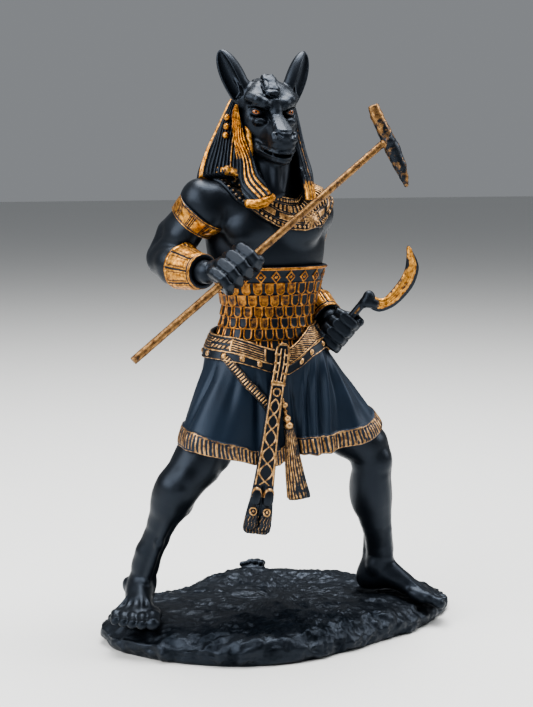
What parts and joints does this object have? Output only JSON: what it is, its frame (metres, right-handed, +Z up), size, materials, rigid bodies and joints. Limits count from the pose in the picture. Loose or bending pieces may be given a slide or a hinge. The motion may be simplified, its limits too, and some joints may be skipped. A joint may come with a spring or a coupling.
{
  "type": "seth statue",
  "caption": "Standing figurine of an animal-headed Egyptian god on a rock base, holding a long adze and a sickle.",
  "frame": {"origin": "centre of the bounding box at the underside of the base", "axes": "+Z up, the figure faces -Y, its right hand with the long adze is at -X, and +X runs along the base"},
  "size_m": [0.183, 0.116, 0.2793],
  "materials": {
    "rock": "cast resin painted satin black",
    "black_resin": "cast resin painted satin blue-black",
    "gold_paint": "antique gold paint rubbed over black",
    "tool_gold": "brown-gold metallic paint, worn to black",
    "amber_eye": "glossy amber paint"
  },
  "bodies": {
    "root": {"rock_base": "rock", "figure": "black_resin", "adze_staff": "tool_gold", "sickle": "tool_gold"}
  },
  "joints": []
}
